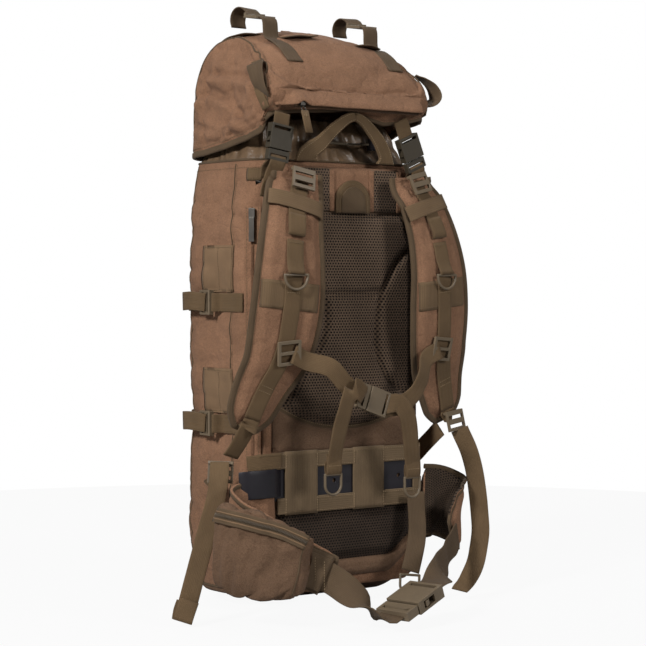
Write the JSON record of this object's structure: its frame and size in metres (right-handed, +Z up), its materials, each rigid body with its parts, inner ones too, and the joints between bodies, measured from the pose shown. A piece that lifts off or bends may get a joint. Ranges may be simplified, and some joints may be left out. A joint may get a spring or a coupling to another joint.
{
  "type": "hunting backpack",
  "caption": "Tall top-loading hunting backpack with padded shoulder harness, chest strap, padded hip belt with pouches and a hinged lid pocket.",
  "frame": {"origin": "centre of the flat bottom of the bag, on the ground", "axes": "+Z up, -Y towards the wearer's back (back panel and harness side), +X the wearer's left"},
  "size_m": [0.4808, 0.4575, 0.811],
  "materials": {
    "cordura": "matte",
    "coated_nylon": "satin",
    "spacer_mesh": "matte",
    "webbing": "matte",
    "buckle_plastic": "satin",
    "black_plastic": "satin",
    "cord": "matte",
    "zip_metal": "satin",
    "zip_tape": "matte",
    "stay_aluminium": "satin"
  },
  "bodies": {
    "pack": {"main_bag": "cordura", "base_panel": "cordura", "snow_collar": "coated_nylon", "collar_drawcord": "cord", "cord_lock": "black_plastic", "frame_sheet": "black_plastic", "frame_stays": "stay_aluminium", "back_pad": "spacer_mesh", "lumbar_pad": "spacer_mesh", "lumbar_plate": "black_plastic", "lumbar_webbing": "webbing", "yoke_panel": "webbing", "front_pocket": "cordura", "pals_webbing": "webbing", "compression_straps": "webbing", "compression_ladder_locks": "buckle_plastic", "side_zip": "zip_tape", "lid_rear_webbing": "webbing", "lid_buckle_females": "buckle_plastic", "lid_buckle_males": "buckle_plastic", "lower_straps": "webbing", "lower_ladder_lock": "buckle_plastic"},
    "cord_lock_button": {"cord_lock_button": "black_plastic"},
    "haul_handle": {"haul_handle": "webbing"},
    "side_zip_slider": {"side_zip_slider": "zip_metal"},
    "lid": {"lid_shell": "cordura", "lid_zip": "zip_tape", "lid_top_straps": "webbing", "lid_top_locks": "buckle_plastic"},
    "lid_zip_slider": {"lid_zip_slider": "zip_metal"},
    "lid_zip_pull": {"lid_zip_pull": "webbing"},
    "harness": {"shoulder_pad_left": "cordura", "shoulder_pad_right": "cordura", "shoulder_webbing": "webbing", "pad_hardware": "buckle_plastic", "sternum_straps": "webbing", "sternum_male": "buckle_plastic", "sternum_female": "buckle_plastic", "load_straps": "webbing", "strap_ladder_lock_left": "buckle_plastic"},
    "d_ring_left": {"d_ring_left": "buckle_plastic"},
    "d_ring_right": {"d_ring_right": "buckle_plastic"},
    "tail_ring_left": {"tail_ring_left": "buckle_plastic"},
    "tail_ring_right": {"tail_ring_right": "buckle_plastic"},
    "sternum_arm_upper": {"sternum_arm_upper": "buckle_plastic"},
    "sternum_arm_lower": {"sternum_arm_lower": "buckle_plastic"},
    "hip_belt": {"belt_wings": "cordura", "belt_pouch_left": "cordura", "belt_pouch_right": "cordura", "belt_webbing": "webbing", "hip_male": "buckle_plastic", "hip_female": "buckle_plastic"},
    "belt_ring": {"belt_ring": "buckle_plastic"},
    "hip_arm_front": {"hip_arm_front": "buckle_plastic"},
    "hip_arm_rear": {"hip_arm_rear": "buckle_plastic"},
    "lid_buckle_arm_left_a": {"lid_buckle_arm_left_a": "buckle_plastic"},
    "lid_buckle_arm_left_b": {"lid_buckle_arm_left_b": "buckle_plastic"},
    "lid_buckle_arm_right_a": {"lid_buckle_arm_right_a": "buckle_plastic"},
    "lid_buckle_arm_right_b": {"lid_buckle_arm_right_b": "buckle_plastic"}
  },
  "joints": [
    {"name": "lid_hinge", "type": "hinge", "parent": "pack", "child": "lid", "pos_m": [0, -0.126, 0.668], "axis": [1, 0, 0], "range_deg": [0, 80]},
    {"name": "haul_handle_fold", "type": "hinge", "parent": "pack", "child": "haul_handle", "pos_m": [0, -0.111, 0.594], "axis": [1, 0, 0], "range_deg": [0, 55]},
    {"name": "harness_swing", "type": "hinge", "parent": "pack", "child": "harness", "pos_m": [0, -0.114, 0.59], "axis": [-1, 0, 0], "range_deg": [0, 10]},
    {"name": "belt_lift", "type": "hinge", "parent": "pack", "child": "hip_belt", "pos_m": [0, -0.112, 0.15], "axis": [-1, 0, 0], "range_deg": [0, 20]},
    {"name": "cord_lock_press", "type": "slide", "parent": "pack", "child": "cord_lock_button", "axis": [0, 0, -1], "range_m": [0, 0.004], "stiffness_N_per_m": 250, "springref_m": -0.002},
    {"name": "side_zip_slide", "type": "slide", "parent": "pack", "child": "side_zip_slider", "axis": [0, 0, -1], "range_m": [0, 0.36]},
    {"name": "lid_zip_slide", "type": "slide", "parent": "lid", "child": "lid_zip_slider", "axis": [-1, 0, 0], "range_m": [-0.19, 0]},
    {"name": "lid_zip_pull_hinge", "type": "hinge", "parent": "lid_zip_slider", "child": "lid_zip_pull", "pos_m": [-0.096, -0.1346, 0.666], "axis": [-1, 0, 0], "range_deg": [0, 60]},
    {"name": "d_ring_left_hinge", "type": "hinge", "parent": "harness", "child": "d_ring_left", "pos_m": [0.12805, -0.16221, 0.44655], "axis": [-0.9959, -0.0901, 0], "range_deg": [0, 95]},
    {"name": "d_ring_right_hinge", "type": "hinge", "parent": "harness", "child": "d_ring_right", "pos_m": [-0.12805, -0.16221, 0.44655], "axis": [-0.9959, 0.0901, 0], "range_deg": [0, 95]},
    {"name": "tail_ring_right_hinge", "type": "hinge", "parent": "harness", "child": "tail_ring_right", "pos_m": [-0.069, -0.163, 0.1865], "axis": [-1, 0, 0], "range_deg": [-35, 60]},
    {"name": "tail_ring_left_hinge", "type": "hinge", "parent": "harness", "child": "tail_ring_left", "pos_m": [0.066, -0.163, 0.1745], "axis": [-1, 0, 0], "range_deg": [-35, 60]},
    {"name": "belt_ring_hinge", "type": "hinge", "parent": "hip_belt", "child": "belt_ring", "pos_m": [0.062, -0.163, 0.043], "axis": [-0.9138, 0.4061, 0], "range_deg": [-20, 45]},
    {"name": "lid_buckle_arm_right_a_squeeze", "type": "hinge", "parent": "pack", "child": "lid_buckle_arm_right_a", "pos_m": [-0.13648, -0.1205, 0.61043], "axis": [0, 1, 0], "range_deg": [0, 7], "stiffness_Nm_per_rad": 0.3, "springref_deg": -2.86},
    {"name": "lid_buckle_arm_right_b_squeeze", "type": "hinge", "parent": "pack", "child": "lid_buckle_arm_right_b", "pos_m": [-0.11723, -0.1205, 0.60735], "axis": [0, -1, 0], "range_deg": [0, 7], "stiffness_Nm_per_rad": 0.3, "springref_deg": -2.86},
    {"name": "lid_buckle_arm_left_a_squeeze", "type": "hinge", "parent": "pack", "child": "lid_buckle_arm_left_a", "pos_m": [0.09366, -0.1205, 0.60105], "axis": [0, 1, 0], "range_deg": [0, 7], "stiffness_Nm_per_rad": 0.3, "springref_deg": -2.86},
    {"name": "lid_buckle_arm_left_b_squeeze", "type": "hinge", "parent": "pack", "child": "lid_buckle_arm_left_b", "pos_m": [0.11164, -0.1205, 0.6086], "axis": [0, -1, 0], "range_deg": [0, 7], "stiffness_Nm_per_rad": 0.3, "springref_deg": -2.86},
    {"name": "sternum_arm_lower_squeeze", "type": "hinge", "parent": "harness", "child": "sternum_arm_lower", "pos_m": [-0.0216, -0.171, 0.27579], "axis": [0, -1, 0], "range_deg": [0, 7], "stiffness_Nm_per_rad": 0.3, "springref_deg": -2.86},
    {"name": "sternum_arm_upper_squeeze", "type": "hinge", "parent": "harness", "child": "sternum_arm_upper", "pos_m": [-0.01504, -0.171, 0.29415], "axis": [0, 1, 0], "range_deg": [0, 7], "stiffness_Nm_per_rad": 0.3, "springref_deg": -2.86},
    {"name": "hip_arm_front_squeeze", "type": "hinge", "parent": "hip_belt", "child": "hip_arm_front", "pos_m": [-0.04599, -0.29605, 0.02696], "axis": [-0.3386, -0.0587, 0.9391], "range_deg": [0, 7], "stiffness_Nm_per_rad": 0.6, "springref_deg": -2.86},
    {"name": "hip_arm_rear_squeeze", "type": "hinge", "parent": "hip_belt", "child": "hip_arm_rear", "pos_m": [-0.05131, -0.26629, 0.02691], "axis": [0.3386, 0.0587, -0.9391], "range_deg": [0, 7], "stiffness_Nm_per_rad": 0.6, "springref_deg": -2.86}
  ]
}
